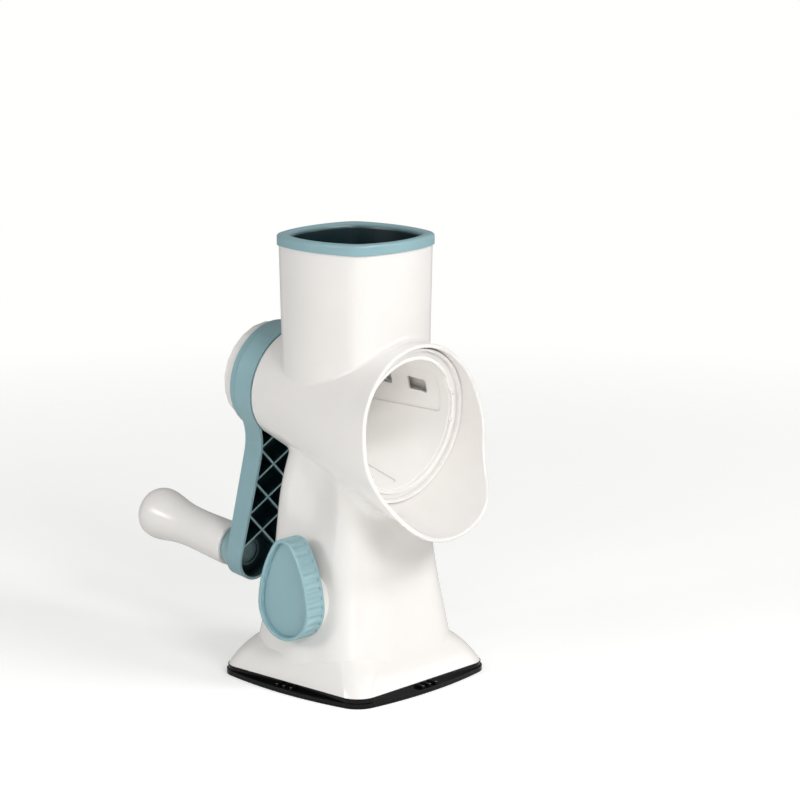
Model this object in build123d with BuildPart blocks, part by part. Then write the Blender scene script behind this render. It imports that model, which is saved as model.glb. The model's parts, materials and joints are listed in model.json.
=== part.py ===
from build123d import *
from math import cos, radians, sin, sqrt
import os

os.makedirs("parts", exist_ok=True)

# Rotary cheese grater: a tilted barrel with a feed chute on a suction-foot pedestal.
# +X is to the right seen from the mouth, -Y is the mouth, +Y the crank, +Z up, origin under the foot.

# ------------------------------------------------------------------ driving dimensions (mm)
TOTAL_HEIGHT = 235.0
AXIS_HEIGHT = 143.9          # barrel axis above the table, at the pedestal's centre line
BARREL_TILT = 8.16           # the mouth end of the barrel is the low end, degrees
RUNNING_GAP = 0.05           # radial clearance of every shaft in its bush

# barrel: a cone that widens towards the mouth; t is the distance forward along its axis
BARREL_RADIUS = 38.0
BARREL_TAPER = 0.168
BARREL_WALL = 2.4
BARREL_REAR = -45.0
SPOUT_REACH = 82.0           # the cone runs to here before the mouth is cut
REAR_WALL_FRONT = -41.2
BOSS_FRONT = -37.0
BOSS_RADIUS = 9.5
BUSH_RADIUS = 6.0
SEAT_RADIUS = 38.6           # ledge behind the drum's front ring
SEAT_REAR = 30.6
SEAT_FRONT = 32.6
MOUTH_EDGE_ROUND = 0.9
CHUTE_BLEND = 3.0            # fillets where the chute and the pedestal meet the barrel
PEDESTAL_BLEND = 5.0

# foot and pedestal: rounded squares
WALL = 2.6
SKIRT_BOTTOM = 5.1
SKIRT_SIDE = 100.6
SKIRT_CORNER = 11.0
CREASE_HEIGHT = 18.4         # where the skirt meets the middle of the pedestal's sides
CREASE_SIDE = 85.4
CREASE_CORNER = 15.0
SKIRT_STEPS = 5
SKIRT_BURIED_STEPS = 2       # steps that run on inside the pedestal and show at its round corners
SKIRT_START_LEAN = 27.0      # lean of the domed skirt's wall at its foot and at the crease, degrees
SKIRT_END_LEAN = 49.0
# height, side and corner radius of each level of the pedestal, and how far its -X side is bowed
PEDESTAL_LEVELS = [
    (11.0, 89.4, 24.0, 2.3),
    (20.8, 85.4, 24.0, 0.9),
    (28.0, 82.6, 22.9, 0.0),
    (41.0, 77.8, 21.0, 0.0),
    (73.0, 68.3, 17.0, 0.0),
    (120.0, 56.4, 15.0, 0.0),
    (134.0, 53.6, 15.0, 0.0),
]

# chute and pusher: squares with bowed sides
CHUTE_CENTRE_Y = -1.8
RIM_CORNER = 29.6            # where two bowed sides of the pusher's rim would meet
RIM_MIDDLE = 36.1            # middle of a bowed side
RIM_ROUND = 14.0
RIM_HEIGHT = 5.6
RIM_OVERHANG = 0.75
RIM_EDGE_ROUND = 1.6
RIM_LIP_ROUND = 2.8          # rounding from the rim's top into the hollow
CHUTE_WALL = 2.2
CHUTE_DRAFT = 0.016
CHUTE_BOTTOM = 150.0
CHUTE_GUARD = 165.0          # below this height the barrel wall is whole
PUSHER_GAP = 0.35
PUSHER_WALL = 2.2
PUSHER_BOTTOM = 172.5
PUSHER_FLOOR = 180.0
PUSHER_DRUM_GAP = 1.8

# drum
DRUM_RADIUS = 32.0
DRUM_TAPER = 0.115
DRUM_SHEET = 1.3
DRUM_REAR = -32.65
DRUM_FRONT = 35.3
WINDOW_LENGTH = 11.6
WINDOW_WIDTH = 8.0
WINDOW_PITCH = 22.4
WINDOW_COUNT = 2
WINDOW_FIRST = 15.2          # t of the foremost window's centre
WINDOW_ROWS = [70.0, 190.0, 310.0]
BLADE_ROOT_ANGLE = 14.0      # from a window's centre to the line where its knife is fixed
BLADE_TILT = 6.0
BLADE_WIDTH = 4.6
POCKET_DEPTH = 0.35          # shallow pocket in the drum's inner wall round each row of windows
POCKET_REAR = -30.0
POCKET_FRONT = 30.0
POCKET_HALF_WIDTH = 11.9
POCKET_LEAN = 3.6            # how much wider the pocket's lower edge is at its rear
RING_REAR = 33.2
RING_FRONT = 38.5
HUB_DISC_REAR = -35.2

# crank
CRANK_FRONT = -46.1
CRANK_REAR = -62.0
CRANK_RADIUS = 30.6
CRANK_REAR_RADIUS = 29.7
ARM_ANGLE = 6.2              # the arm leans this much towards -X, degrees
ARM_LENGTH = 98.3
ARM_HALF_WIDTH = 13.8
ARM_REAR = -58.0
ARM_WALL = 1.5
ARM_WEB = 1.8
LATTICE_PITCH = 18.5
LATTICE_FIRST = 46.7
LATTICE_COUNT = 3
LATTICE_FRONT = -48.0
RIB_THICKNESS = 1.2
ARM_BLEND = 30.0
ARM_RELIEF = 1.9             # the arm's front edges fall back this much, to pass the chute
ARM_RELIEF_START = -45.0
WEB_FRONT = -50.0
WEB_REAR = -53.0
CAP_REAR = -70.0
CAP_RADIUS = 27.0
SHAFT_RADIUS = 4.0
SQUARE_SIDE = 6.4
HOOK_RADIUS = 20.0

# handle
HANDLE_BOSS_REAR = -66.0
HANDLE_BOSS_RADIUS = 10.2    # at the grip; the boss widens to nearly the arm's width
GRIP_FRONT = -67.0
GRIP_REAR = -131.5
SPINDLE_RADIUS = 3.0
SPINDLE_FRONT = -56.6        # the spindle's blind end in the arm's boss

# suction lever
KNOB_HEIGHT = 46.0
KNOB_BIG_RADIUS = 18.1
KNOB_SMALL_RADIUS = 8.5
KNOB_LENGTH = 27.5           # between the centres of the two end rounds
KNOB_SIDE_RADIUS = 60.0
KNOB_OUTER_X = -54.0
KNOB_INNER_X = -41.5
KNOB_GROOVES = 30
GROOVE_RADIUS = 2.3
GROOVE_DEPTH = 0.8
KNOB_EDGE_ROUND = 0.8
KNOB_RIM = 2.0               # width of the raised rim round the dished face
KNOB_DISH = 3.9
COVER_THICKNESS = 1.1
COVER_GAP = 0.05
SCREW_FLOOR = 5.2            # seat of the lever's screw below the rim
COLLAR_RADIUS = 17.5
COLLAR_X = -41.2
CAM_RADIUS = 6.0
CAM_THROW = 3.0
CAM_PIN_RADIUS = 2.5

# suction pad and base plate
PAD_THICKNESS = 5.0
PAD_MEMBRANE = 2.0
PAD_POCKET_RADIUS = 34.0
PAD_TAB_REACH = 55.0
SCREW_SPACING = 68.0

# ------------------------------------------------------------------ frames of the tilted barrel
TILT = radians(BARREL_TILT)
AXIS_POINT = Vector(0, 0, AXIS_HEIGHT)
FORWARD = Vector(0, -cos(TILT), -sin(TILT))
UPWARD = Vector(0, -sin(TILT), cos(TILT))
RIGHT = Vector(1, 0, 0)
BARREL = Plane(origin=AXIS_POINT, x_dir=RIGHT, z_dir=FORWARD)
PROFILE = Plane(origin=AXIS_POINT, x_dir=FORWARD, z_dir=-RIGHT)
TURN_AXIS = Axis(origin=AXIS_POINT, direction=-FORWARD)

LEAN = radians(ARM_ANGLE)
ARM = Plane(origin=AXIS_POINT, x_dir=RIGHT * cos(LEAN) - UPWARD * sin(LEAN), z_dir=FORWARD)
HANDLE_POINT = ARM.from_local_coords(Vector(0, -ARM_LENGTH, 0))
HANDLE = Plane(origin=HANDLE_POINT, x_dir=RIGHT, z_dir=FORWARD)
HANDLE_PROFILE = Plane(origin=HANDLE_POINT, x_dir=FORWARD, z_dir=-RIGHT)
HANDLE_AXIS = Axis(origin=HANDLE_POINT, direction=-FORWARD)

LEVER = Plane(origin=(0, 0, KNOB_HEIGHT), x_dir=(0, 1, 0), z_dir=(1, 0, 0))


# ------------------------------------------------------------------ shapes used more than once
def skirt_section(share, wall):
    """Height, side and corner radius of the skirt, share 0 at its foot to 1 at the crease."""
    start = radians(SKIRT_START_LEAN)
    end = radians(SKIRT_END_LEAN)
    lean = start + (end - start) * share
    rise = (sin(lean) - sin(start)) / (sin(end) - sin(start))
    inset = (cos(start) - cos(lean)) / (cos(start) - cos(end))
    level = SKIRT_BOTTOM + (CREASE_HEIGHT - wall - SKIRT_BOTTOM) * rise
    side = SKIRT_SIDE - (SKIRT_SIDE - CREASE_SIDE) * inset - 2 * wall
    corner = SKIRT_CORNER + (CREASE_CORNER - SKIRT_CORNER) * inset - wall
    return level, side, corner


def pedestal_outline(side, corner, swell, wall):
    """Rounded square inset by a wall; the side under the suction lever may swell outwards."""
    half = side / 2 - wall
    rounding = corner - wall
    flat = half - rounding
    bend = flat + rounding / sqrt(2)
    with BuildSketch() as section:
        with BuildLine():
            if swell:
                Spline((-half, flat), (-half - swell, 0), (-half, -flat), tangents=((0, -1), (0, -1)))
            else:
                Line((-half, flat), (-half, -flat))
            ThreePointArc((-half, -flat), (-bend, -bend), (-flat, -half))
            Line((-flat, -half), (flat, -half))
            ThreePointArc((flat, -half), (bend, -bend), (half, -flat))
            Line((half, -flat), (half, flat))
            ThreePointArc((half, flat), (bend, bend), (flat, half))
            Line((flat, half), (-flat, half))
            ThreePointArc((-flat, half), (-bend, bend), (-half, flat))
        make_face()
    return section.sketch


def barrel_radius(t):
    return BARREL_RADIUS + BARREL_TAPER * t


def drum_radius(t):
    return DRUM_RADIUS + DRUM_TAPER * t


def on_barrel(edge):
    """Whether an edge lies on the barrel's outer cone, away from its two ends."""
    for share in (0.0, 0.25, 0.5, 0.75, 1.0):
        out = (edge @ share) - AXIS_POINT
        t = out.dot(FORWARD)
        if abs((out - FORWARD * t).length - barrel_radius(t)) > 0.05:
            return False
        if not BARREL_REAR + 1.0 < t < SPOUT_REACH - 0.5:
            return False
    return True


def radial_direction(angle):
    """Unit vector out of the barrel axis; 0 is up, 90 is +X."""
    return UPWARD * cos(radians(angle)) + RIGHT * sin(radians(angle))


def outline(points):
    """Flat face inside straight edges."""
    with BuildSketch() as face:
        with BuildLine():
            Polyline(*points, close=True)
        make_face()
    return face.sketch


def cone_outline(t_rear, t_front, radius, inner=0.0):
    """Half section of a cone wall about the barrel axis."""
    return outline(
        [(t_rear, inner), (t_front, inner), (t_front, radius(t_front)), (t_rear, radius(t_rear))]
    )


def bowed_square(corner, middle, rounding):
    """Square whose four sides are arcs bowed outwards, with rounded corners."""
    with BuildSketch() as square:
        with BuildLine():
            for turn in range(4):
                start = Vector(corner, -corner).rotate(Axis.Z, 90 * turn)
                bow = Vector(middle, 0).rotate(Axis.Z, 90 * turn)
                end = Vector(corner, corner).rotate(Axis.Z, 90 * turn)
                ThreePointArc(start, bow, end)
        make_face()
        fillet(square.vertices(), rounding)
    return square.sketch


def chute_outline(height, inset):
    """Chute section at a height, inset from the chute's outer face."""
    top = TOTAL_HEIGHT - RIM_HEIGHT
    shrink = RIM_OVERHANG + inset + CHUTE_DRAFT * (top - height)
    return bowed_square(RIM_CORNER - shrink, RIM_MIDDLE - shrink, RIM_ROUND - inset)


def chute_plane(height):
    return Plane(origin=(0, CHUTE_CENTRE_Y, height))


def egg(inset):
    """Lever outline: two round ends joined by slightly bowed sides, narrow end up."""
    big = KNOB_BIG_RADIUS - inset
    small = KNOB_SMALL_RADIUS - inset
    side = KNOB_SIDE_RADIUS - inset
    rise = (
        (side - big) ** 2 - (side - small) ** 2 + KNOB_LENGTH**2
    ) / (2 * KNOB_LENGTH)
    reach = sqrt((side - big) ** 2 - rise**2)
    low = Vector(reach, -rise).normalized()
    high = Vector(reach, KNOB_LENGTH - rise).normalized()
    side_centre = Vector(-reach, rise)
    low_point = low * big
    high_point = Vector(0, KNOB_LENGTH) + high * small
    side_point = side_centre + (low + high).normalized() * side
    with BuildSketch() as face:
        with BuildLine():
            ThreePointArc(Vector(-low_point.X, low_point.Y), Vector(0, -big), low_point)
            ThreePointArc(low_point, side_point, high_point)
            ThreePointArc(high_point, Vector(0, KNOB_LENGTH + small), Vector(-high_point.X, high_point.Y))
            ThreePointArc(
                Vector(-high_point.X, high_point.Y),
                Vector(-side_point.X, side_point.Y),
                Vector(-low_point.X, low_point.Y),
            )
        make_face()
    return face.sketch


def arm_outline(inset):
    """Round hub and straight arm with blended flanks, inset all round."""
    with BuildSketch() as shape:
        Circle(CRANK_RADIUS - 0.3)
        with Locations((0, -ARM_LENGTH / 2)):
            Rectangle(2 * ARM_HALF_WIDTH, ARM_LENGTH)
        with Locations((0, -ARM_LENGTH)):
            Circle(ARM_HALF_WIDTH)
        root_corners = shape.vertices().filter_by(
            lambda corner: abs(corner.Y) < CRANK_RADIUS and abs(abs(corner.X) - ARM_HALF_WIDTH) < 0.1
        )
        fillet(root_corners, ARM_BLEND)
        if inset:
            offset(amount=-inset)
    return shape.sketch


def finish(part, name):
    """Label a finished piece and write its file."""
    part.label = name
    export_step(part, f"parts/{name}.step")


# ------------------------------------------------------------------ housing
# Hollow of the foot and pedestal, up to the barrel's outer wall.
with BuildPart() as pedestal_cavity:
    for step in range(SKIRT_STEPS + 1):
        level, side, corner = skirt_section(step / SKIRT_STEPS, WALL)
        with BuildSketch(Plane.XY.offset(level)):
            RectangleRounded(side, side, corner)
    loft()
    for level, side, corner, swell in PEDESTAL_LEVELS:
        with BuildSketch(Plane.XY.offset(level)):
            add(pedestal_outline(side, corner, swell, WALL))
    loft()
    with BuildSketch(PROFILE):
        add(cone_outline(BARREL_REAR, 60.0, barrel_radius))
    revolve(axis=TURN_AXIS, mode=Mode.SUBTRACT)

with BuildPart() as housing:
    # domed skirt
    for step in range(SKIRT_STEPS + SKIRT_BURIED_STEPS + 1):
        level, side, corner = skirt_section(step / SKIRT_STEPS, 0.0)
        with BuildSketch(Plane.XY.offset(level)):
            RectangleRounded(side, side, corner)
    loft()
    # flared pedestal
    for level, side, corner, swell in PEDESTAL_LEVELS:
        with BuildSketch(Plane.XY.offset(level)):
            add(pedestal_outline(side, corner, swell, 0.0))
    loft()
    add(pedestal_cavity.part, mode=Mode.SUBTRACT)
    # chute block and barrel
    for level in (CHUTE_BOTTOM, TOTAL_HEIGHT - RIM_HEIGHT - 0.1):
        with BuildSketch(chute_plane(level)):
            add(chute_outline(level, 0.0))
    loft(ruled=True)
    with BuildSketch(PROFILE):
        add(cone_outline(BARREL_REAR, SPOUT_REACH, barrel_radius))
    revolve(axis=TURN_AXIS)
    junctions = housing.edges().filter_by(on_barrel).filter_by(GeomType.BSPLINE)
    fillet(junctions.filter_by_position(Axis.Z, AXIS_HEIGHT, TOTAL_HEIGHT), CHUTE_BLEND)
    junctions = housing.edges().filter_by(on_barrel).filter_by(GeomType.BSPLINE)
    fillet(junctions.filter_by_position(Axis.Z, 0, AXIS_HEIGHT), PEDESTAL_BLEND)
    # barrel bore, with the bearing boss in the rear wall and the ledge for the drum's ring
    with BuildSketch(PROFILE):
        add(cone_outline(REAR_WALL_FRONT, SPOUT_REACH + 2.0, lambda t: barrel_radius(t) - BARREL_WALL))
    revolve(axis=TURN_AXIS, mode=Mode.SUBTRACT)
    with BuildSketch(BARREL.offset(REAR_WALL_FRONT - 0.5)):
        Circle(BOSS_RADIUS)
    extrude(amount=BOSS_FRONT - REAR_WALL_FRONT + 0.5)
    with BuildSketch(BARREL.offset(BARREL_REAR)):
        Circle(BUSH_RADIUS)
    extrude(amount=BOSS_FRONT - BARREL_REAR, mode=Mode.SUBTRACT)
    with BuildSketch(PROFILE):
        add(cone_outline(SEAT_REAR, SEAT_FRONT, lambda t: barrel_radius(t) - 1.0, SEAT_RADIUS))
    revolve(axis=TURN_AXIS)
    # S-shaped mouth: upright at the top, sweeping forward to the scoop lip
    with BuildSketch(PROFILE):
        with BuildLine():
            edge = Spline(
                (41.0, 47.0),
                (43.5, 30.0),
                (47.0, 14.0),
                (51.0, 0.0),
                (56.2, -17.0),
                (64.0, -28.0),
                (72.0, -38.0),
                (75.8, -47.0),
                (76.4, -56.0),
                tangents=((0, -1), (0, -1)),
            )
            Polyline(edge @ 1, (95.0, -56.0), (95.0, 60.0), (41.0, 60.0), edge @ 0)
        make_face()
    extrude(amount=70.0, both=True, mode=Mode.SUBTRACT)
    fillet(housing.faces().filter_by(GeomType.EXTRUSION).edges(), MOUTH_EDGE_ROUND)
    # chute bore
    for level in (CHUTE_GUARD, TOTAL_HEIGHT):
        with BuildSketch(chute_plane(level)):
            add(chute_outline(level, CHUTE_WALL))
    loft(ruled=True, mode=Mode.SUBTRACT)
    # collar and bearing boss of the suction lever
    with BuildSketch(LEVER.offset(COLLAR_X)):
        Circle(COLLAR_RADIUS)
    extrude(amount=5.4)
    with BuildSketch(LEVER.offset(COLLAR_X + 5.0)):
        Circle(10.5)
    extrude(amount=14.0)
    with BuildSketch(LEVER.offset(COLLAR_X)):
        Circle(7.5)
    extrude(amount=19.0, mode=Mode.SUBTRACT)
    # screw bosses of the base plate
    with BuildSketch(Plane.XY.offset(7.5)):
        with GridLocations(SCREW_SPACING, SCREW_SPACING, 2, 2):
            Circle(4.0)
    extrude(amount=10.5)
    with BuildSketch(Plane.XY.offset(7.5)):
        with GridLocations(SCREW_SPACING, SCREW_SPACING, 2, 2):
            Circle(1.5)
    extrude(amount=9.3, mode=Mode.SUBTRACT)
finish(housing.part, "housing")

with BuildPart() as rear_bush:
    with BuildSketch(PROFILE):
        add(outline([
            (BOSS_FRONT, SHAFT_RADIUS + RUNNING_GAP),
            (BOSS_FRONT, BUSH_RADIUS - 0.02),
            (BARREL_REAR - 0.05, BUSH_RADIUS - 0.02),
            (BARREL_REAR - 0.05, 8.5),
            (BARREL_REAR - 0.8, 8.5),
            (BARREL_REAR - 0.8, SHAFT_RADIUS + RUNNING_GAP),
        ]))
    revolve(axis=TURN_AXIS)
finish(rear_bush.part, "rear_bush")

# ------------------------------------------------------------------ suction foot
with BuildPart() as suction_pad:
    with BuildSketch(Plane.XY):
        add(bowed_square(SKIRT_SIDE / 2 - 0.7, PAD_TAB_REACH, 12.0))
    extrude(amount=2.6)
    with BuildSketch(Plane.XY.offset(2.6)):
        RectangleRounded(SKIRT_SIDE + 0.8, SKIRT_SIDE + 0.8, SKIRT_CORNER + 0.4)
    extrude(amount=PAD_THICKNESS - 2.6)
    with BuildSketch(Plane.XY.offset(PAD_MEMBRANE)):
        Circle(PAD_POCKET_RADIUS)
    extrude(amount=PAD_THICKNESS, mode=Mode.SUBTRACT)
    # three grip ridges on the pull tab in the middle of each side
    for turn in range(4):
        side_plane = Plane.XY.rotated((0, 0, 90 * turn)).offset(2.4)
        with BuildSketch(side_plane):
            with Locations((51.9, -5.0), (51.9, 0.0), (51.9, 5.0)):
                RectangleRounded(4.4, 1.8, 0.85)
        extrude(amount=1.5)
finish(suction_pad.part, "suction_pad")

PLATE_BOTTOM = 5.2
PLATE_TOP = 7.4
with BuildPart() as base_plate:
    with BuildSketch(Plane.XY.offset(PLATE_BOTTOM)):
        RectangleRounded(92.6, 92.6, 8.0)
    extrude(amount=PLATE_TOP - PLATE_BOTTOM)
    with BuildSketch(Plane.XY.offset(PLATE_BOTTOM)):
        Circle(36.0)
    extrude(amount=11.0 - PLATE_BOTTOM)
    with BuildSketch(Plane.XY.offset(PLATE_BOTTOM)):
        Circle(33.4)
    extrude(amount=8.8 - PLATE_BOTTOM, mode=Mode.SUBTRACT)
    with BuildSketch(Plane.XY.offset(8.8)):
        Circle(8.0)
    extrude(amount=13.0)
    with BuildSketch(Plane.XY.offset(PLATE_BOTTOM)):
        Circle(5.0 + RUNNING_GAP)
    extrude(amount=20.0, mode=Mode.SUBTRACT)
    with Locations(Plane.XY.offset(PLATE_BOTTOM)):
        with GridLocations(SCREW_SPACING, SCREW_SPACING, 2, 2):
            with Locations(Rotation(180, 0, 0)):
                CounterSinkHole(radius=1.6, counter_sink_radius=3.2, depth=PLATE_TOP - PLATE_BOTTOM)
finish(base_plate.part, "base_plate")

with BuildPart() as base_plate_screws:
    for x_side in (-1, 1):
        for y_side in (-1, 1):
            centre = Vector(x_side * SCREW_SPACING / 2, y_side * SCREW_SPACING / 2, 0)
            with BuildSketch(Plane(origin=centre, x_dir=(1, 0, 0), z_dir=(0, -1, 0))):
                add(outline([
                    (0, PLATE_BOTTOM + 1.0),
                    (0.8, PLATE_BOTTOM + 1.0),
                    (0.8, PLATE_BOTTOM + 0.1),
                    (2.95, PLATE_BOTTOM + 0.1),
                    (1.4, PLATE_BOTTOM + 1.65),
                    (1.4, PLATE_BOTTOM + 11.2),
                    (0, PLATE_BOTTOM + 11.2),
                ]))
            revolve(axis=Axis(origin=centre, direction=(0, 0, 1)))
finish(base_plate_screws.part, "base_plate_screws")

# The stem carries the pad's stiffening disc; its yoke is lifted by the lever's eccentric pin.
PIN_Y = CAM_THROW * cos(radians(45.0))
PIN_Z = KNOB_HEIGHT - CAM_THROW * sin(radians(45.0))
with BuildPart() as pad_stem:
    with BuildSketch(Plane.XY.offset(PAD_MEMBRANE + 0.05)):
        Circle(31.0)
    extrude(amount=2.0)
    with BuildSketch(Plane.XY.offset(PAD_MEMBRANE + 1.0)):
        Circle(5.0)
    extrude(amount=37.0)
    with BuildSketch(Plane.XY.offset(38.0)):
        RectangleRounded(12.0, 17.0, 2.0)
    extrude(amount=12.5)
    with BuildSketch(Plane(origin=(-10.0, PIN_Y + 0.44, PIN_Z), x_dir=(0, 1, 0), z_dir=(1, 0, 0))):
        RectangleRounded(2 * CAM_PIN_RADIUS + 1.4, 2 * CAM_PIN_RADIUS + 0.36, 0.5)
    extrude(amount=20.0, mode=Mode.SUBTRACT)
finish(pad_stem.part, "pad_stem")

with BuildPart() as cam_bush:
    with BuildSketch(LEVER.offset(COLLAR_X + 0.2)):
        Circle(7.48)
        Circle(CAM_RADIUS + RUNNING_GAP, mode=Mode.SUBTRACT)
    extrude(amount=19.0)
    with BuildSketch(LEVER.offset(COLLAR_X + 19.05)):
        Circle(9.5)
        Circle(CAM_RADIUS + RUNNING_GAP, mode=Mode.SUBTRACT)
    extrude(amount=1.2)
finish(cam_bush.part, "cam_bush")

CLIP_X = COLLAR_X + 20.35
with BuildPart() as cam_shaft:
    with BuildSketch(LEVER.offset(KNOB_INNER_X + 0.1)):
        Circle(CAM_RADIUS)
    extrude(amount=-9.0 - KNOB_INNER_X - 0.1)
    with BuildSketch(LEVER.offset(-47.6)):
        Rectangle(8.0, 8.0)
    extrude(amount=7.0)
    with BuildSketch(LEVER.offset(-9.5)):
        with Locations((PIN_Y, PIN_Z - KNOB_HEIGHT)):
            Circle(CAM_PIN_RADIUS)
    extrude(amount=17.0)
    with BuildSketch(LEVER.offset(CLIP_X)):
        Circle(CAM_RADIUS + 1.0)
        Circle(CAM_RADIUS - 0.7, mode=Mode.SUBTRACT)
    extrude(amount=1.0, mode=Mode.SUBTRACT)
    with BuildSketch(LEVER.offset(-48.0)):
        Circle(2.0)
    extrude(amount=12.0, mode=Mode.SUBTRACT)
finish(cam_shaft.part, "cam_shaft")

with BuildPart() as cam_clip:
    with BuildSketch(LEVER.offset(CLIP_X + 0.08)):
        Circle(CAM_RADIUS + 2.2)
        Circle(CAM_RADIUS - 0.66, mode=Mode.SUBTRACT)
        with Locations((0, CAM_RADIUS)):
            Rectangle(5.0, 8.0, mode=Mode.SUBTRACT)
    extrude(amount=0.84)
finish(cam_clip.part, "cam_clip")

GROOVE_WIRE = egg(GROOVE_DEPTH - GROOVE_RADIUS).face().outer_wire()
with BuildPart() as suction_knob:
    with BuildSketch(LEVER.offset(KNOB_OUTER_X)):
        add(egg(0.0))
    extrude(amount=KNOB_INNER_X - KNOB_OUTER_X)
    outer_edges = suction_knob.faces().sort_by(Axis.X)[0].edges()
    fillet(outer_edges, KNOB_EDGE_ROUND)
    # shallow finger grooves in the side wall, from the rim's rounding to the back flange
    with BuildSketch(LEVER.offset(KNOB_OUTER_X + 0.6)):
        for groove in range(KNOB_GROOVES):
            place = GROOVE_WIRE.position_at(groove / KNOB_GROOVES)
            with Locations((place.X, place.Y)):
                Circle(GROOVE_RADIUS)
    extrude(amount=10.2, taper=2.0, mode=Mode.SUBTRACT)
    # dished face, hollow back and the square hub on the shaft
    with BuildSketch(LEVER.offset(KNOB_OUTER_X)):
        add(egg(KNOB_RIM))
    extrude(amount=KNOB_DISH, mode=Mode.SUBTRACT)
    fillet(suction_knob.faces().sort_by(Axis.X)[0].inner_wires().edges(), 0.6)
    with BuildSketch(LEVER.offset(KNOB_INNER_X)):
        add(egg(2.8))
        Circle(9.5, mode=Mode.SUBTRACT)
    extrude(amount=-7.0, mode=Mode.SUBTRACT)
    with BuildSketch(LEVER.offset(KNOB_INNER_X)):
        Rectangle(8.06, 8.06)
    extrude(amount=-6.2, mode=Mode.SUBTRACT)
    with BuildSketch(LEVER.offset(KNOB_OUTER_X + KNOB_DISH)):
        Circle(4.3)
    extrude(amount=SCREW_FLOOR - KNOB_DISH, mode=Mode.SUBTRACT)
    with BuildSketch(LEVER.offset(KNOB_OUTER_X + 5.0)):
        Circle(2.1)
    extrude(amount=2.0, mode=Mode.SUBTRACT)
finish(suction_knob.part, "suction_knob")

with BuildPart() as knob_cover:
    with BuildSketch(LEVER.offset(KNOB_OUTER_X + KNOB_DISH - COVER_GAP - COVER_THICKNESS)):
        add(egg(KNOB_RIM + 0.15))
    extrude(amount=COVER_THICKNESS)
finish(knob_cover.part, "knob_cover")

with BuildPart() as knob_screw:
    with BuildSketch(LEVER.offset(KNOB_OUTER_X + KNOB_DISH + 0.1)):
        Circle(3.9)
        Rectangle(5.0, 1.0, mode=Mode.SUBTRACT)
    extrude(amount=0.6)
    with BuildSketch(LEVER.offset(KNOB_OUTER_X + KNOB_DISH + 0.7)):
        Circle(3.9)
    extrude(amount=SCREW_FLOOR - COVER_GAP - KNOB_DISH - 0.7)
    with BuildSketch(LEVER.offset(KNOB_OUTER_X + 4.8)):
        Circle(1.9)
    extrude(amount=11.5)
finish(knob_screw.part, "knob_screw")

# ------------------------------------------------------------------ drum
with BuildPart() as pocket_columns:
    for row in WINDOW_ROWS:
        with BuildSketch(Plane(origin=AXIS_POINT, x_dir=FORWARD, z_dir=radial_direction(row))):
            add(outline([
                (POCKET_REAR, -POCKET_HALF_WIDTH),
                (POCKET_FRONT, -POCKET_HALF_WIDTH),
                (POCKET_FRONT, POCKET_HALF_WIDTH),
                (POCKET_REAR, POCKET_HALF_WIDTH + POCKET_LEAN),
            ]))
            fillet(vertices().filter_by_position(Axis.X, POCKET_FRONT - 1.0, POCKET_FRONT + 1.0), 2.0)
        extrude(amount=40.0)

with BuildPart() as knife_pockets:
    with BuildSketch(PROFILE):
        add(outline([
            (POCKET_REAR - 1.0, drum_radius(POCKET_REAR - 1.0) - DRUM_SHEET - 1.0),
            (POCKET_FRONT + 1.0, drum_radius(POCKET_FRONT + 1.0) - DRUM_SHEET - 1.0),
            (POCKET_FRONT + 1.0, drum_radius(POCKET_FRONT + 1.0) - DRUM_SHEET + POCKET_DEPTH),
            (POCKET_REAR - 1.0, drum_radius(POCKET_REAR - 1.0) - DRUM_SHEET + POCKET_DEPTH),
        ]))
    revolve(axis=TURN_AXIS)
    add(pocket_columns.part, mode=Mode.INTERSECT)

with BuildPart() as drum_shell:
    with BuildSketch(PROFILE):
        add(outline([
            (DRUM_REAR, drum_radius(DRUM_REAR) - DRUM_SHEET),
            (DRUM_FRONT, drum_radius(DRUM_FRONT) - DRUM_SHEET),
            (DRUM_FRONT, drum_radius(DRUM_FRONT)),
            (DRUM_REAR, drum_radius(DRUM_REAR)),
        ]))
    revolve(axis=TURN_AXIS)
    add(knife_pockets.part, mode=Mode.SUBTRACT)
    for row in WINDOW_ROWS:
        for number in range(WINDOW_COUNT):
            t = WINDOW_FIRST - number * WINDOW_PITCH
            window_plane = Plane(
                origin=AXIS_POINT + FORWARD * t, x_dir=FORWARD, z_dir=radial_direction(row)
            ).offset(20.0)
            with BuildSketch(window_plane):
                RectangleRounded(WINDOW_LENGTH, WINDOW_WIDTH, 1.2)
            extrude(amount=25.0, mode=Mode.SUBTRACT)
finish(drum_shell.part, "drum_shell")

# One slicing knife per window, fixed behind it and standing proud over its trailing edge.
with BuildPart() as drum_blades:
    for row in WINDOW_ROWS:
        for number in range(WINDOW_COUNT):
            t = WINDOW_FIRST - number * WINDOW_PITCH
            out = radial_direction(row + BLADE_ROOT_ANGLE)
            slope = radial_direction(row + BLADE_ROOT_ANGLE - 90.0 + BLADE_TILT)
            generatrix = (FORWARD + out * DRUM_TAPER).normalized()
            blade_plane = Plane(
                origin=AXIS_POINT + FORWARD * t + out * (drum_radius(t) + 0.04),
                x_dir=generatrix,
                z_dir=generatrix.cross(slope).normalized(),
            )
            with BuildSketch(blade_plane):
                with Locations((0, BLADE_WIDTH / 2)):
                    Rectangle(WINDOW_LENGTH + 1.6, BLADE_WIDTH)
            extrude(amount=-0.4)
finish(drum_blades.part, "drum_blades")

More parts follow.
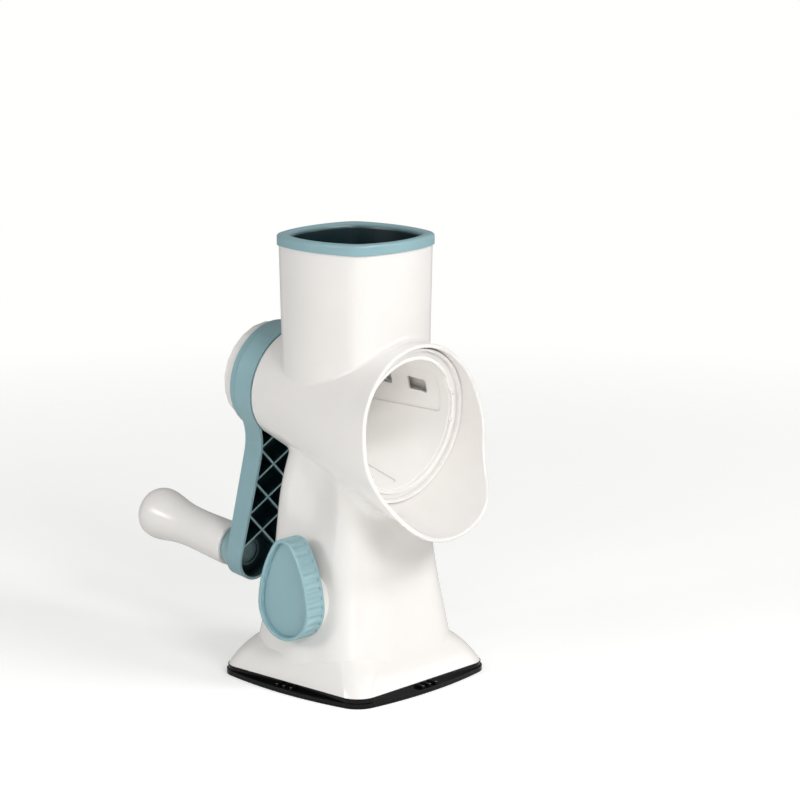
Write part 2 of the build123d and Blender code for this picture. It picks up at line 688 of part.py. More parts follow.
with BuildPart() as drum_front_ring:
    with BuildSketch(PROFILE):
        add(outline([
            (RING_REAR, drum_radius(RING_REAR) + 0.05),
            (DRUM_FRONT + 0.05, drum_radius(DRUM_FRONT) + 0.05),
            (DRUM_FRONT + 0.05, 35.1),
            (37.2, 35.3),
            (37.2, 36.9),
            (36.2, 37.3),
            (36.2, 39.7),
            (RING_FRONT, 40.1),
            (RING_FRONT, 41.4),
            (RING_REAR, 40.7),
        ]))
    revolve(axis=TURN_AXIS)
    # locking gap in the inner lip and two small breaks
    for angle, width in ((60.0, 16.0), (94.0, 2.0), (240.0, 16.0), (274.0, 2.0)):
        gap_plane = Plane(
            origin=AXIS_POINT + FORWARD * 36.25, x_dir=radial_direction(angle), z_dir=FORWARD
        )
        with BuildSketch(gap_plane):
            with Locations((36.3, 0)):
                Rectangle(2.6, width)
        extrude(amount=3.0, mode=Mode.SUBTRACT)
finish(drum_front_ring.part, "drum_front_ring")

SOCKET_END = -19.4
with BuildPart() as drum_rear_hub:
    spigot = drum_radius(DRUM_REAR) - DRUM_SHEET - 0.05
    with BuildSketch(PROFILE):
        add(outline([
            (HUB_DISC_REAR, 0),
            (SOCKET_END + 2.0, 0),
            (SOCKET_END + 2.0, 7.0),
            (-32.7, 8.5),
            (-32.7, 25.5),
            (-28.7, 25.5),
            (-28.7, spigot + 0.4),
            (-32.7, spigot),
            (-32.7, drum_radius(DRUM_REAR)),
            (HUB_DISC_REAR, drum_radius(DRUM_REAR)),
        ]))
    revolve(axis=TURN_AXIS)
    with BuildSketch(BARREL.offset(HUB_DISC_REAR)):
        Rectangle(SQUARE_SIDE + 0.2, SQUARE_SIDE + 0.2)
    extrude(amount=SOCKET_END - HUB_DISC_REAR, mode=Mode.SUBTRACT)
    with BuildSketch(BARREL.offset(HUB_DISC_REAR)):
        with PolarLocations(17.0, 6):
            Circle(5.0)
    extrude(amount=3.0, mode=Mode.SUBTRACT)
finish(drum_rear_hub.part, "drum_rear_hub")

# ------------------------------------------------------------------ crank
NOSE_FRONT = BARREL_REAR - 0.9
with BuildPart() as crank_arm:
    # arm block with a blended root, then the turned hub over it
    with BuildSketch(ARM.offset(ARM_REAR)):
        add(arm_outline(0.0))
    extrude(amount=CRANK_FRONT - ARM_REAR)
    with BuildSketch(PROFILE):
        add(outline([
            (CRANK_REAR, 0),
            (CRANK_FRONT, 0),
            (CRANK_FRONT, CRANK_RADIUS),
            (CRANK_REAR, CRANK_REAR_RADIUS),
        ]))
    revolve(axis=TURN_AXIS)
    # front recess of the hub, running on into the channel of the arm
    with BuildSketch(ARM.offset(CRANK_FRONT)):
        add(arm_outline(ARM_WALL))
        Circle(14.0, mode=Mode.SUBTRACT)
    extrude(amount=WEB_FRONT - CRANK_FRONT, mode=Mode.SUBTRACT)
    with BuildSketch(ARM.offset(CRANK_FRONT)):
        add(arm_outline(ARM_WALL))
        Circle(CRANK_RADIUS - 0.4, mode=Mode.SUBTRACT)
    extrude(amount=ARM_REAR + ARM_WEB - CRANK_FRONT, mode=Mode.SUBTRACT)
    with BuildSketch(PROFILE):
        add(outline([
            (CRANK_FRONT, ARM_RELIEF_START),
            (CRANK_FRONT + 1.0, ARM_RELIEF_START),
            (CRANK_FRONT + 1.0, -ARM_LENGTH - ARM_HALF_WIDTH),
            (CRANK_FRONT - ARM_RELIEF, -ARM_LENGTH - ARM_HALF_WIDTH),
        ]))
    extrude(amount=3 * ARM_HALF_WIDTH, both=True, mode=Mode.SUBTRACT)
    # crossed ribs in the channel
    with BuildSketch(ARM.offset(ARM_REAR + ARM_WEB - 0.2)):
        rib_run = Vector(2 * ARM_HALF_WIDTH - 2 * ARM_WALL, LATTICE_PITCH)
        rib_turn = rib_run.get_angle(Vector(1, 0))
        for number in range(LATTICE_COUNT):
            with Locations((0, -LATTICE_FIRST - number * LATTICE_PITCH)):
                Rectangle(rib_run.length + 0.8, RIB_THICKNESS, rotation=rib_turn)
                Rectangle(rib_run.length + 0.8, RIB_THICKNESS, rotation=-rib_turn)
    extrude(amount=LATTICE_FRONT - ARM_REAR - ARM_WEB + 0.2)
    # half ribs above the first crossing
    with BuildSketch(ARM.offset(ARM_REAR + ARM_WEB - 0.2)):
        with Locations((0, -LATTICE_FIRST + LATTICE_PITCH)):
            Rectangle(rib_run.length + 0.8, RIB_THICKNESS, rotation=rib_turn)
            Rectangle(rib_run.length + 0.8, RIB_THICKNESS, rotation=-rib_turn)
        with Locations((0, -CRANK_RADIUS + 20.4)):
            Rectangle(60.0, 40.0, mode=Mode.SUBTRACT)
    extrude(amount=LATTICE_FRONT - ARM_REAR - ARM_WEB + 0.2)
    # thrust nose, and the rear recess of the hub
    with BuildSketch(BARREL.offset(CRANK_FRONT)):
        Circle(7.5)
    extrude(amount=NOSE_FRONT - CRANK_FRONT)
    with BuildSketch(BARREL.offset(CRANK_REAR)):
        Circle(CAP_RADIUS + 0.4)
    extrude(amount=WEB_REAR - CRANK_REAR, mode=Mode.SUBTRACT)
    # holes for the shaft, its screws and the cap's hooks
    with BuildSketch(BARREL.offset(WEB_REAR)):
        Circle(SHAFT_RADIUS + 0.02)
    extrude(amount=NOSE_FRONT - WEB_REAR, mode=Mode.SUBTRACT)
    with BuildSketch(BARREL.offset(WEB_REAR)):
        with PolarLocations(10.5, 3):
            Circle(1.5)
    extrude(amount=5.5, mode=Mode.SUBTRACT)
    with BuildSketch(BARREL.offset(WEB_REAR)):
        with PolarLocations(HOOK_RADIUS, 3, start_angle=60.0):
            Rectangle(5.0, 6.0)
    extrude(amount=WEB_FRONT - WEB_REAR, mode=Mode.SUBTRACT)
    # handle boss behind the arm, and its low ring in the channel
    with BuildSketch(HANDLE_PROFILE):
        add(outline([
            (HANDLE_BOSS_REAR, 0),
            (ARM_REAR + 0.2, 0),
            (ARM_REAR + 0.2, ARM_HALF_WIDTH - 0.3),
            (ARM_REAR, ARM_HALF_WIDTH - 0.3),
            (HANDLE_BOSS_REAR, HANDLE_BOSS_RADIUS),
        ]))
    revolve(axis=HANDLE_AXIS)
    with BuildSketch(HANDLE.offset(ARM_REAR + ARM_WEB - 0.2)):
        Circle(8.0)
    extrude(amount=1.6)
    with BuildSketch(HANDLE.offset(ARM_REAR + ARM_WEB + 0.8)):
        Circle(6.4)
    extrude(amount=0.8, mode=Mode.SUBTRACT)
    with BuildSketch(HANDLE.offset(HANDLE_BOSS_REAR)):
        Circle(SPINDLE_RADIUS + 0.02)
    extrude(amount=SPINDLE_FRONT + 0.05 - HANDLE_BOSS_REAR, mode=Mode.SUBTRACT)
finish(crank_arm.part, "crank_arm")

FLANGE_REAR = WEB_REAR - 2.2
SHAFT_TIP = -22.5
SHAFT_CLIP_REAR = BOSS_FRONT + 0.1
with BuildPart() as drive_shaft:
    with BuildSketch(PROFILE):
        add(outline([
            (FLANGE_REAR, 1.8),
            (-35.6, 1.8),
            (-35.6, SHAFT_RADIUS),
            (SHAFT_CLIP_REAR + 0.9, SHAFT_RADIUS),
            (SHAFT_CLIP_REAR + 0.9, 3.3),
            (SHAFT_CLIP_REAR, 3.3),
            (SHAFT_CLIP_REAR, SHAFT_RADIUS),
            (WEB_REAR - 0.05, SHAFT_RADIUS),
            (WEB_REAR - 0.05, 13.5),
            (FLANGE_REAR, 13.5),
        ]))
    revolve(axis=TURN_AXIS)
    with BuildSketch(BARREL.offset(-35.7)):
        RectangleRounded(SQUARE_SIDE, SQUARE_SIDE, 0.6)
        Circle(1.8, mode=Mode.SUBTRACT)
    extrude(amount=SHAFT_TIP + 35.7)
    with BuildSketch(BARREL.offset(FLANGE_REAR)):
        with PolarLocations(10.5, 3):
            Circle(1.6)
    extrude(amount=2.2, mode=Mode.SUBTRACT)
finish(drive_shaft.part, "drive_shaft")

with BuildPart() as shaft_screws:
    with BuildSketch(BARREL.offset(FLANGE_REAR - 1.7)):
        with PolarLocations(10.5, 3):
            Circle(2.5)
            Rectangle(3.2, 0.7, mode=Mode.SUBTRACT)
    extrude(amount=0.7)
    with BuildSketch(BARREL.offset(FLANGE_REAR - 1.0)):
        with PolarLocations(10.5, 3):
            Circle(2.5)
    extrude(amount=0.95)
    with BuildSketch(BARREL.offset(FLANGE_REAR - 0.5)):
        with PolarLocations(10.5, 3):
            Circle(1.4)
    extrude(amount=7.5)
finish(shaft_screws.part, "shaft_screws")

with BuildPart() as shaft_clip:
    with BuildSketch(BARREL.offset(SHAFT_CLIP_REAR + 0.05)):
        Circle(5.6)
        Circle(3.34, mode=Mode.SUBTRACT)
        with Locations((0, 4.5)):
            Rectangle(3.4, 5.0, mode=Mode.SUBTRACT)
    extrude(amount=0.8)
finish(shaft_clip.part, "shaft_clip")

# ------------------------------------------------------------------ drum release button
CAP_FRONT = -57.5
with BuildPart() as hub_cap:
    with BuildSketch(BARREL.offset(CAP_REAR)):
        RegularPolygon(CAP_RADIUS, 20)
    extrude(amount=CAP_FRONT - CAP_REAR)
    fillet(hub_cap.edges().filter_by(lambda edge: abs(edge.tangent_at(0).dot(FORWARD)) > 0.99), 2.5)
    rear_rim = hub_cap.faces().sort_by(Axis(AXIS_POINT, FORWARD))[0].edges()
    fillet(rear_rim, 1.6)
    with BuildSketch(BARREL.offset(CAP_REAR + 2.2)):
        Circle(CAP_RADIUS - 2.4)
        Circle(4.8, mode=Mode.SUBTRACT)
    extrude(amount=CAP_FRONT - CAP_REAR, mode=Mode.SUBTRACT)
    with BuildSketch(BARREL.offset(-60.2)):
        Circle(5.2)
    extrude(amount=5.0, mode=Mode.SUBTRACT)
    # three legs that snap behind the web of the hub
    with BuildSketch(BARREL.offset(CAP_REAR + 2.0)):
        with PolarLocations(HOOK_RADIUS - 1.0, 3, start_angle=60.0):
            Rectangle(1.6, 5.0)
    extrude(amount=-48.7 - CAP_REAR - 2.0)
    with BuildSketch(BARREL.offset(-49.9)):
        with PolarLocations(HOOK_RADIUS + 0.9, 3, start_angle=60.0):
            Rectangle(3.9, 5.0)
    extrude(amount=1.2)
    with BuildSketch(BARREL.offset(-67.0)):
        Circle(1.7)
    extrude(amount=7.0, mode=Mode.SUBTRACT)
finish(hub_cap.part, "hub_cap")

with BuildPart() as release_plunger:
    with BuildSketch(BARREL.offset(-66.9)):
        Circle(1.68)
    extrude(amount=SHAFT_TIP - 0.1 + 66.9)
finish(release_plunger.part, "release_plunger")

# Coil between the shaft's flange and the cap.
SPRING_RADIUS = 6.3
SPRING_WIRE = 0.5
with BuildPart() as cap_spring:
    spring_base = BARREL.offset(FLANGE_REAR - SPRING_WIRE - 0.1)
    coil_length = FLANGE_REAR - CAP_REAR - 2.2 - 2 * SPRING_WIRE - 0.2
    coil = Helix(pitch=coil_length / 4.0, height=coil_length, radius=SPRING_RADIUS, cone_angle=0)
    coil = Plane(origin=spring_base.origin, x_dir=RIGHT, z_dir=-FORWARD) * coil
    with BuildSketch(Plane(origin=coil @ 0, z_dir=coil % 0)):
        Circle(SPRING_WIRE)
    sweep(path=coil, is_frenet=True)
finish(cap_spring.part, "cap_spring")

# ------------------------------------------------------------------ handle
WASHER_FRONT = -121.55
with BuildPart() as handle_spindle:
    with BuildSketch(HANDLE_PROFILE):
        add(outline([
            (WASHER_FRONT + 0.05, 1.55),
            (-110.0, 1.55),
            (-110.0, 0),
            (SPINDLE_FRONT, 0),
            (SPINDLE_FRONT, SPINDLE_RADIUS),
            (WASHER_FRONT + 0.05, SPINDLE_RADIUS),
        ]))
    revolve(axis=HANDLE_AXIS)
finish(handle_spindle.part, "handle_spindle")

with BuildPart() as handle_washer:
    with BuildSketch(HANDLE.offset(HANDLE_BOSS_REAR - 0.05)):
        Circle(7.5)
        Circle(SPINDLE_RADIUS + RUNNING_GAP, mode=Mode.SUBTRACT)
    extrude(amount=-0.85)
finish(handle_washer.part, "handle_washer")

with BuildPart() as handle_grip:
    with BuildSketch(HANDLE_PROFILE):
        with BuildLine():
            start = (GRIP_FRONT, SPINDLE_RADIUS + RUNNING_GAP)
            corner = Polyline(start, (GRIP_FRONT, 10.6))
            nose = ThreePointArc(corner @ 1, (GRIP_FRONT - 0.35, 11.4), (GRIP_FRONT - 1.2, 11.75))
            flank = Spline(
                nose @ 1,
                (-85.0, 11.3),
                (-102.0, 11.3),
                (-112.5, 12.7),
                (-121.5, 14.2),
                (-128.6, 12.7),
                (GRIP_REAR, 9.0),
                tangents=((-1, -0.01), (-0.1, -1)),
            )
            Polyline(
                flank @ 1,
                (GRIP_REAR, 8.5),
                (-121.1, 8.5),
                (-121.1, SPINDLE_RADIUS + RUNNING_GAP),
                start,
            )
        make_face()
    revolve(axis=HANDLE_AXIS)
finish(handle_grip.part, "handle_grip")

with BuildPart() as handle_end_washer:
    with BuildSketch(HANDLE.offset(WASHER_FRONT)):
        Circle(7.4)
        Circle(1.6, mode=Mode.SUBTRACT)
    extrude(amount=-1.0)
finish(handle_end_washer.part, "handle_end_washer")

with BuildPart() as handle_screw:
    with BuildSketch(HANDLE.offset(WASHER_FRONT - 3.0)):
        Circle(3.0)
        Rectangle(3.8, 0.8, mode=Mode.SUBTRACT)
    extrude(amount=0.8)
    with BuildSketch(HANDLE.offset(WASHER_FRONT - 2.2)):
        Circle(3.0)
    extrude(amount=1.15)
    with BuildSketch(HANDLE.offset(WASHER_FRONT - 1.5)):
        Circle(1.5)
    extrude(amount=11.0)
finish(handle_screw.part, "handle_screw")

with BuildPart() as handle_end_plug:
    with BuildSketch(HANDLE.offset(GRIP_REAR - 0.4)):
        Circle(8.46)
    extrude(amount=5.9)
    fillet(handle_end_plug.faces().sort_by(Axis(HANDLE_POINT, FORWARD))[0].edges(), 0.8)
finish(handle_end_plug.part, "handle_end_plug")

# ------------------------------------------------------------------ pusher
with BuildPart() as pusher:
    for level in (PUSHER_BOTTOM, TOTAL_HEIGHT - RIM_HEIGHT):
        with BuildSketch(chute_plane(level)):
            add(chute_outline(level, CHUTE_WALL + PUSHER_GAP))
    loft(ruled=True)
    with BuildSketch(chute_plane(TOTAL_HEIGHT - RIM_HEIGHT)):
        add(bowed_square(RIM_CORNER, RIM_MIDDLE, RIM_ROUND))
    extrude(amount=RIM_HEIGHT)
    rim_edges = pusher.edges().filter_by_position(Axis.Z, TOTAL_HEIGHT - RIM_HEIGHT, TOTAL_HEIGHT)
    fillet(rim_edges.group_by(Axis.Z)[-1], RIM_EDGE_ROUND)
    for level in (PUSHER_FLOOR, TOTAL_HEIGHT):
        with BuildSketch(chute_plane(level)):
            add(chute_outline(level, CHUTE_WALL + PUSHER_GAP + PUSHER_WALL))
    loft(ruled=True, mode=Mode.SUBTRACT)
    fillet(pusher.faces().sort_by(Axis.Z)[-1].inner_wires().edges(), RIM_LIP_ROUND)
    # arched underside that follows the drum
    with BuildSketch(PROFILE):
        add(cone_outline(-44.0, 44.0, lambda t: drum_radius(t) + PUSHER_DRUM_GAP))
    revolve(axis=TURN_AXIS, mode=Mode.SUBTRACT)
finish(pusher.part, "pusher")
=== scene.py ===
import json
import math

import bpy
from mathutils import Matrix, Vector

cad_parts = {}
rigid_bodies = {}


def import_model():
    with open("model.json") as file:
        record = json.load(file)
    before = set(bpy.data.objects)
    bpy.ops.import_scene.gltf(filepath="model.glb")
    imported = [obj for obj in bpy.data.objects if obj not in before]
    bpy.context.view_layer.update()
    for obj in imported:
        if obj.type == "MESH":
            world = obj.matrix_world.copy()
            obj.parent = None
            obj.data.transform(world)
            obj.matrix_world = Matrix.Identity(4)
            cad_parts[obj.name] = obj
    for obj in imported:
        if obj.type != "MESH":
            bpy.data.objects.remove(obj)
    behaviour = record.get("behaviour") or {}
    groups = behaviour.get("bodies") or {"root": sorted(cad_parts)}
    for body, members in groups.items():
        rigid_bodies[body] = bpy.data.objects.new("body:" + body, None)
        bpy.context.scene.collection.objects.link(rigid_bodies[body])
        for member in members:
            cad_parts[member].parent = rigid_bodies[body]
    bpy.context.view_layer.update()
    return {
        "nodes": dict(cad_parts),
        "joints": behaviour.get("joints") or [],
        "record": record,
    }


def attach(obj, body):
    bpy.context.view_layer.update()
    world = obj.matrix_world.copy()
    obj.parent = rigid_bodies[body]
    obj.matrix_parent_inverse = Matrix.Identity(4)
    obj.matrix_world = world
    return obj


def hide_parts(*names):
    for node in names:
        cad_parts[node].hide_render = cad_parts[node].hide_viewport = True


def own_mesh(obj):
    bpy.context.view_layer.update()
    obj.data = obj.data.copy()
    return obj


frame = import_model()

# ------------------------------------------------------------------ camera and studio
scene = bpy.context.scene
scene.view_settings.view_transform = "Standard"
scene.view_settings.look = "None"

CAMERA_AZIMUTH = math.radians(-47.618)
CAMERA_ELEVATION = math.radians(12.185)
CAMERA_DISTANCE = 1.5755
CAMERA_TARGET = Vector((0.01625, -0.01781, 0.14675))
CAMERA_LENS = 136.08


def direction(azimuth, elevation):
    """Unit vector from the object towards that side; azimuth 0 is the mouth's side."""
    flat = math.cos(elevation)
    return Vector((math.sin(azimuth) * flat, -math.cos(azimuth) * flat, math.sin(elevation)))


def aim(obj, target):
    obj.rotation_mode = "QUATERNION"
    obj.rotation_quaternion = (target - obj.location).to_track_quat("-Z", "Y")


camera_data = bpy.data.cameras.new("camera")
camera_data.lens = CAMERA_LENS
camera_data.sensor_width = 36.0
camera = bpy.data.objects.new("camera", camera_data)
scene.collection.objects.link(camera)
camera.location = CAMERA_TARGET + direction(CAMERA_AZIMUTH, CAMERA_ELEVATION) * CAMERA_DISTANCE
aim(camera, CAMERA_TARGET)
scene.camera = camera

world = bpy.data.worlds.new("studio")
scene.world = world
world.use_nodes = True
SKY_LIGHT = 0.30             # strength of the even light from all round
BACKDROP = (1.0, 1.0, 0.985, 1.0)


def make_sky(tree):
    """Even soft light, with a plain white backdrop behind the object."""
    sky = tree.nodes["Background"]
    sky.inputs["Color"].default_value = (1.0, 1.0, 1.0, 1.0)
    sky.inputs["Strength"].default_value = SKY_LIGHT
    backdrop = tree.nodes.new("ShaderNodeBackground")
    backdrop.inputs["Color"].default_value = BACKDROP
    path = tree.nodes.new("ShaderNodeLightPath")
    mix = tree.nodes.new("ShaderNodeMixShader")
    tree.links.new(path.outputs["Is Camera Ray"], mix.inputs["Fac"])
    tree.links.new(sky.outputs["Background"], mix.inputs[1])
    tree.links.new(backdrop.outputs["Background"], mix.inputs[2])
    tree.links.new(mix.outputs["Shader"], tree.nodes["World Output"].inputs["Surface"])


make_sky(world.node_tree)


LAMP_TARGET = Vector((0.0, 0.0, 0.12))     # middle of the object
SMALL_BOX = (0.35, 0.35)
LARGE_BOX = (0.5, 0.5)
LAMP_DISTANCE = 1.3
FRONT_LAMP_DISTANCE = 1.5


def softbox(name, azimuth, elevation, distance, size, watts):
    """A rectangular lamp on that side of the object, aimed at its middle; angles in degrees."""
    data = bpy.data.lights.new(name, "AREA")
    data.shape = "RECTANGLE"
    data.size, data.size_y = size
    data.energy = watts
    obj = bpy.data.objects.new(name, data)
    scene.collection.objects.link(obj)
    side = direction(math.radians(azimuth), math.radians(elevation))
    obj.location = LAMP_TARGET + side * distance
    aim(obj, LAMP_TARGET)
    obj.visible_camera = False


softbox("key", -20.0, 30.0, LAMP_DISTANCE, SMALL_BOX, 5.6)
softbox("mouth_side", 15.0, 40.0, LAMP_DISTANCE, SMALL_BOX, 5.2)
softbox("mouth_low", 40.0, 10.0, LAMP_DISTANCE, SMALL_BOX, 1.8)
softbox("lever_side", -110.0, 20.0, LAMP_DISTANCE, SMALL_BOX, 4.2)
softbox("front", -56.0, 10.0, FRONT_LAMP_DISTANCE, LARGE_BOX, 2.0)

# a low strip lamp in front of the object, which lights the floor that its glossy corners reflect
STRIP_SIZE = (0.1, 0.9)
STRIP_WATTS = 2.5
STRIP_SPREAD = math.radians(50.0)
STRIP_AHEAD = 0.68
STRIP_HEIGHT = 0.42
strip_data = bpy.data.lights.new("floor_strip", "AREA")
strip_data.shape = "RECTANGLE"
strip_data.size, strip_data.size_y = STRIP_SIZE
strip_data.energy = STRIP_WATTS
strip_data.spread = STRIP_SPREAD
strip = bpy.data.objects.new("floor_strip", strip_data)
scene.collection.objects.link(strip)
strip.location = direction(CAMERA_AZIMUTH, 0.0) * STRIP_AHEAD + Vector((0.0, 0.0, STRIP_HEIGHT))
strip.rotation_euler = (0.0, 0.0, CAMERA_AZIMUTH)
strip.visible_camera = False


# ------------------------------------------------------------------ materials
class Shader:
    """A material's node tree, with short calls for the nodes used here."""

    def __init__(self, name):
        self.material = bpy.data.materials.new(name)
        self.material.use_nodes = True
        self.tree = self.material.node_tree
        self.base = self.tree.nodes["Principled BSDF"]
        coordinates = self.tree.nodes.new("ShaderNodeTexCoord")
        self.place = coordinates.outputs["Object"]

    def set(self, **values):
        for key, value in values.items():
            self.base.inputs[key.replace("_", " ")].default_value = value

    def noise(self, scale, detail=3.0, roughness=0.5, stretch=None):
        place = self.place
        if stretch:
            mapping = self.tree.nodes.new("ShaderNodeMapping")
            mapping.inputs["Scale"].default_value = stretch
            self.tree.links.new(place, mapping.inputs["Vector"])
            place = mapping.outputs["Vector"]
        node = self.tree.nodes.new("ShaderNodeTexNoise")
        node.inputs["Scale"].default_value = scale
        node.inputs["Detail"].default_value = detail
        node.inputs["Roughness"].default_value = roughness
        self.tree.links.new(place, node.inputs["Vector"])
        return node.outputs["Fac"]

    def spread(self, value, low, high, start=0.3, end=0.7):
        node = self.tree.nodes.new("ShaderNodeMapRange")
        node.inputs["From Min"].default_value = start
        node.inputs["From Max"].default_value = end
        node.inputs["To Min"].default_value = low
        node.inputs["To Max"].default_value = high
        self.tree.links.new(value, node.inputs["Value"])
        return node.outputs["Result"]

    def colours(self, value, *stops):
        node = self.tree.nodes.new("ShaderNodeValToRGB")
        ramp = node.color_ramp
        while len(ramp.elements) < len(stops):
            ramp.elements.new(0.5)
        for element, (position, colour) in zip(ramp.elements, stops):
            element.position = position
            element.color = (*colour, 1.0)
        self.tree.links.new(value, node.inputs["Fac"])
        return node.outputs["Color"]

    def link(self, value, socket):
        self.tree.links.new(value, self.base.inputs[socket])

    def bump(self, *layers):
        """Layers of (height, strength, distance), the last one on top."""
        normal = None
        for height, strength, distance in layers:
            node = self.tree.nodes.new("ShaderNodeBump")
            node.inputs["Strength"].default_value = strength
            node.inputs["Distance"].default_value = distance
            self.tree.links.new(height, node.inputs["Height"])
            if normal:
                self.tree.links.new(normal, node.inputs["Normal"])
            normal = node.outputs["Normal"]
        self.tree.links.new(normal, self.base.inputs["Normal"])

    def cavity(self, distance):
        """How open the surface is within that distance: 1 in the open, 0 deep in a recess; it sets
        where shade is painted into recesses.
        """
        node = self.tree.nodes.new("ShaderNodeAmbientOcclusion")
        node.only_local = True
        node.samples = 8
        node.inputs["Distance"].default_value = distance
        return node.outputs["AO"]

    def mix(self, share, first, second):
        """Blends the first colour's output towards the second, a plain colour, by that share."""
        node = self.tree.nodes.new("ShaderNodeMix")
        node.data_type = "RGBA"
        self.tree.links.new(share, node.inputs["Factor"])
        self.tree.links.new(first, node.inputs["A"])
        node.inputs["B"].default_value = (*second, 1.0)
        return node.outputs["Result"]


def tint(colour, factor):
    return tuple(min(1.0, channel * factor) for channel in colour)


CLOUD_SCALE = 14.0
MARK_SCALE = 55.0
PEEL_SCALE, PEEL_DEPTH = 240.0, 0.00006
FINE_SCALE, FINE_DEPTH = 1900.0, 0.00002
GLOW_REACH = (0.004, 0.0035, 0.003)


def plastic(name, colour, rough, grain=0.15, glow=0.0, ior=1.5, hollow_shade=None):
    """Moulded ABS: fine orange peel, faint clouding, handling marks in the gloss.

    hollow paints shade into recesses: (distance, open share where the painted shade is darkest,
    share where it is plain, painted shade colour).
    """
    s = Shader(name)
    clouds = s.noise(CLOUD_SCALE, 4.0, 0.55)
    skin = s.colours(clouds, (0.35, tint(colour, 0.975)), (0.65, tint(colour, 1.015)))
    # painted shade: deep in recesses the colour is blended towards the given shade colour
    if hollow_shade:
        distance, darkest, plain, dark = hollow_shade
        skin = s.mix(s.spread(s.cavity(distance), 1.0, 0.0, darkest, plain), skin, dark)
    s.link(skin, "Base Color")
    s.link(s.spread(s.noise(MARK_SCALE, 5.0, 0.6), rough * 0.94, rough * 1.1), "Roughness")
    peel = (s.noise(PEEL_SCALE, 2.0), grain, PEEL_DEPTH)
    fine = (s.noise(FINE_SCALE, 2.0), grain * 0.6, FINE_DEPTH)
    s.bump(peel, fine)
    s.set(IOR=ior)
    if glow:
        s.set(Subsurface_Weight=glow, Subsurface_Radius=GLOW_REACH, Subsurface_Scale=1.0)
    return s.material


SCRATCH_STRENGTH, SCRATCH_DEPTH = 0.25, 0.00002


def metal(name, colour, rough, stretch, scale=900.0):
    """Brushed or turned steel: fine parallel scratches."""
    s = Shader(name)
    scratches = s.noise(scale, 4.0, 0.7, stretch)
    s.link(s.colours(scratches, (0.3, tint(colour, 0.82)), (0.7, tint(colour, 1.08))), "Base Color")
    s.link(s.spread(scratches, rough * 0.7, rough * 1.4), "Roughness")
    s.bump((scratches, SCRATCH_STRENGTH, SCRATCH_DEPTH))
    s.set(Metallic=1.0)
    return s.material


WHITE = (0.865, 0.84, 0.81)
TEAL = (0.265, 0.43, 0.465)
# shade colours painted into recesses and narrow gaps, and the settings that paint them
TEAL_PAINTED_SHADE = (0.003, 0.016, 0.02)
IN_SHADE = (0.5, 0.485, 0.465)         # white plastic in a narrow gap
RING_SHADE = (0.66, 0.645, 0.63)
KNOB_SHADE = (0.05, 0.11, 0.125)
RING_PAINTED_SHADE = (0.004, 0.4, 0.75, RING_SHADE)
DRUM_PAINTED_SHADE = (0.0015, 0.6, 0.97, IN_SHADE)
ARM_PAINTED_SHADE = (0.014, 0.66, 0.93, TEAL_PAINTED_SHADE)
KNOB_PAINTED_SHADE = (0.003, 0.25, 0.5, KNOB_SHADE)
PUSHER_PAINTED_SHADE = (0.12, 0.5, 0.95, TEAL_PAINTED_SHADE)
looks = {
    "white_shell": plastic("white_abs", WHITE, 0.2, 0.12, 0.03),
    "white_small": plastic("white_abs_small", tint(WHITE, 1.02), 0.24, 0.12, 0.05),
    # painted shade in the ring's gaps and grooves
    "white_ring_painted_shade": plastic("white_abs_ring_painted_shade", (0.9, 0.88, 0.855), 0.2, 0.1, hollow_shade=RING_PAINTED_SHADE),
    # painted light and shade: the drum's white is lighter than the housing's so the inside of the
    # bore looks lit, and its pocket edges and seams carry painted shade
    "white_drum_painted_light_and_shade": plastic("white_abs_drum_painted_light_and_shade", (0.95, 0.93, 0.905), 0.3, 0.12, hollow_shade=DRUM_PAINTED_SHADE),
    "white_nylon": plastic("nylon", (0.8, 0.79, 0.76), 0.42, 0.3, 0.1),
    # painted shade: the arm's channel is darkened towards near-black teal
    "teal": plastic("teal_abs", TEAL, 0.34, 0.3, hollow_shade=ARM_PAINTED_SHADE),
    # painted shade in the knob's dish and flutes
    "teal_knob_painted_shade": plastic("teal_abs_knob_painted_shade", tint(TEAL, 1.06), 0.3, 0.25, hollow_shade=KNOB_PAINTED_SHADE),
    "teal_cover": plastic("teal_abs_cover", TEAL, 0.38, 0.4),
    # painted shade: the pusher's cup is darkened towards near-black teal inside
    "teal_pusher_painted_shade": plastic("teal_abs_pusher_painted_shade", TEAL, 0.34, 0.3, hollow_shade=PUSHER_PAINTED_SHADE),
    "black_rubber": plastic("black_rubber", (0.003, 0.003, 0.0035), 0.11, 0.1, ior=1.3),
    "steel_sheet": metal("steel_sheet", (0.72, 0.73, 0.74), 0.28, (1.0, 0.06, 1.0)),
    "steel_turned": metal("steel_turned", (0.6, 0.61, 0.62), 0.3, (1.0, 8.0, 1.0)),
    "steel_zinc": metal("steel_zinc", (0.7, 0.7, 0.71), 0.22, (1.0, 1.0, 1.0), 500.0),
}

slot_of = {row["node"]: row["material_slot"] for row in frame["record"]["subparts"]}
# parts that take a copy of their material with painted shade in recesses, and for the drum painted
# light as well
own_look = {
    "pusher": "teal_pusher_painted_shade",
    "drum_shell": "white_drum_painted_light_and_shade",
    "drum_front_ring": "white_ring_painted_shade",
    "suction_knob": "teal_knob_painted_shade",
}
for name, obj in frame["nodes"].items():
    obj.data.materials.clear()
    obj.data.materials.append(looks[own_look.get(name, slot_of[name])])

# ------------------------------------------------------------------ cap spring
def make_spring():
    """The cap's spring as a piece of its own, hung on the release press's parent body."""
    press = next(joint for joint in frame["joints"] if joint["name"] == "release_press")
    node = frame["nodes"]["cap_spring"]
    piece = bpy.data.objects.new("cap_spring_coil", node.data.copy())
    scene.collection.objects.link(piece)
    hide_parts("cap_spring")
    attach(piece, press["parent"])
    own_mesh(piece)


make_spring()

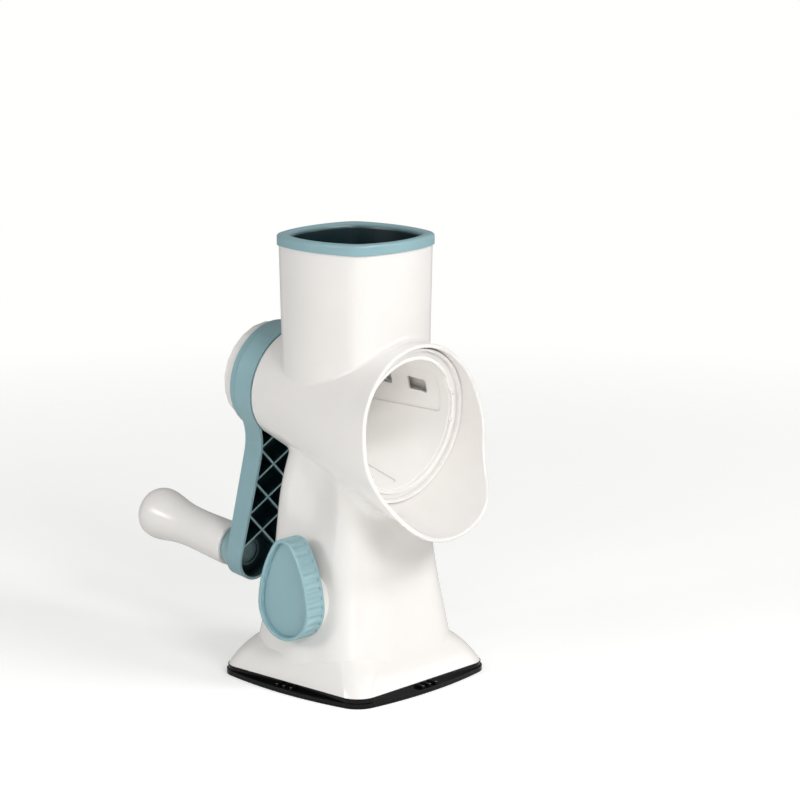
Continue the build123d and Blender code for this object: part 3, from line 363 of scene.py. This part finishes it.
# ------------------------------------------------------------------ floor
FLOOR_RADIUS = 1.6
FADE_START, FADE_END = 0.2, 0.9      # the floor melts into the backdrop between these distances
FLOOR_LIFT = 0.36                    # plain white added to the floor where the camera looks at it
FLOOR_SIDES = 96
FLOOR_DARK, FLOOR_LIGHT = (0.84, 0.84, 0.83), (0.86, 0.86, 0.85)


def make_floor():
    """A pale table that fades out into the white backdrop."""
    mesh = bpy.data.meshes.new("floor")
    angles = [2.0 * math.pi * step / FLOOR_SIDES for step in range(FLOOR_SIDES)]
    rim = [(math.cos(a) * FLOOR_RADIUS, math.sin(a) * FLOOR_RADIUS, 0.0) for a in angles]
    mesh.from_pydata(rim, [], [tuple(range(FLOOR_SIDES))])
    obj = bpy.data.objects.new("floor", mesh)
    scene.collection.objects.link(obj)
    s = Shader("floor")
    clouds = s.noise(3.0)
    s.link(s.colours(clouds, (0.4, FLOOR_DARK), (0.6, FLOOR_LIGHT)), "Base Color")
    s.set(Roughness=0.7, Specular_IOR_Level=0.1)
    tree = s.tree
    lift = tree.nodes.new("ShaderNodeEmission")
    lift.inputs["Color"].default_value = BACKDROP
    path = tree.nodes.new("ShaderNodeLightPath")
    strength = tree.nodes.new("ShaderNodeMath")
    strength.operation = "MULTIPLY"
    strength.inputs[1].default_value = FLOOR_LIFT
    tree.links.new(path.outputs["Is Camera Ray"], strength.inputs[0])
    tree.links.new(strength.outputs["Value"], lift.inputs["Strength"])
    both = tree.nodes.new("ShaderNodeAddShader")
    tree.links.new(s.base.outputs["BSDF"], both.inputs[0])
    tree.links.new(lift.outputs["Emission"], both.inputs[1])
    distance = tree.nodes.new("ShaderNodeVectorMath")
    distance.operation = "LENGTH"
    tree.links.new(s.place, distance.inputs[0])
    fade = s.spread(distance.outputs["Value"], 0.0, 1.0, FADE_START, FADE_END)
    clear = tree.nodes.new("ShaderNodeBsdfTransparent")
    mix = tree.nodes.new("ShaderNodeMixShader")
    tree.links.new(fade, mix.inputs["Fac"])
    tree.links.new(both.outputs["Shader"], mix.inputs[1])
    tree.links.new(clear.outputs["BSDF"], mix.inputs[2])
    tree.links.new(mix.outputs["Shader"], tree.nodes["Material Output"].inputs["Surface"])
    mesh.materials.append(s.material)


make_floor()
